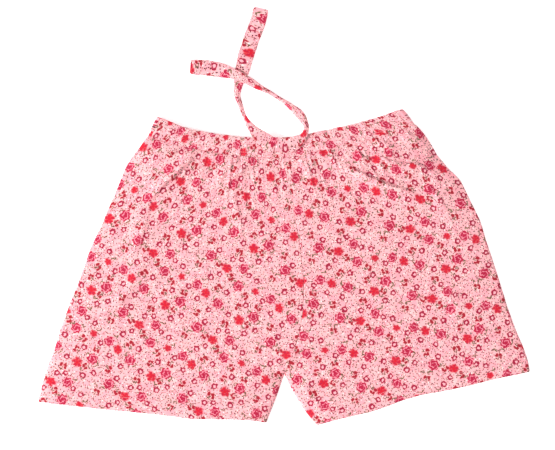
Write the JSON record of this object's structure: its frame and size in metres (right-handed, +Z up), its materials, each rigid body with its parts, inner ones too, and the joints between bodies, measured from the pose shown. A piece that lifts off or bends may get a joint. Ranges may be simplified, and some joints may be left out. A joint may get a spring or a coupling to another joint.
{
  "type": "patient shorts",
  "caption": "Pull-on cotton patient shorts laid flat, with an elasticated waistband, turned-up leg hems and a loose self-fabric tie tacked at the front.",
  "frame": {"origin": "middle of the footprint of the shorts as they lie, without the free tie strands, on the surface under them", "axes": "+X to the wearer's left, +Y from the leg hems to the waist, +Z up from the surface, out of the shorts' front"},
  "size_m": [0.6622, 0.5685, 0.0146],
  "materials": {
    "printed_cotton": "matt woven cotton, pale pink with a small red floral print",
    "tie_cotton": "matt woven cotton, the same print, folded to a flat tie",
    "white_elastic": "matt ribbed elastic",
    "sewing_thread": "matt spun thread"
  },
  "bodies": {
    "shorts": {"front_panel_right": "printed_cotton", "back_panel_right": "printed_cotton", "front_panel_left": "printed_cotton", "back_panel_left": "printed_cotton", "side_seam_right": "printed_cotton", "inseam_right": "printed_cotton", "side_seam_left": "printed_cotton", "inseam_left": "printed_cotton", "front_rise_seam": "printed_cotton", "back_rise_seam": "printed_cotton", "hem_right": "printed_cotton", "hem_stitch_right": "sewing_thread", "hem_left": "printed_cotton", "hem_stitch_left": "sewing_thread", "waistband_casing": "printed_cotton", "waist_elastic": "white_elastic", "waistband_stitch": "sewing_thread", "tie_centre": "tie_cotton", "tie_bartack": "sewing_thread"},
    "tie": {"tie_strand_right": "tie_cotton", "tie_strand_left": "tie_cotton"}
  },
  "joints": [
    {"name": "tie_flip", "type": "hinge", "parent": "shorts", "child": "tie", "pos_m": [-0.00743, 0.15368, 0.0127], "axis": [1, 0, 0], "range_deg": [0, 183]}
  ]
}
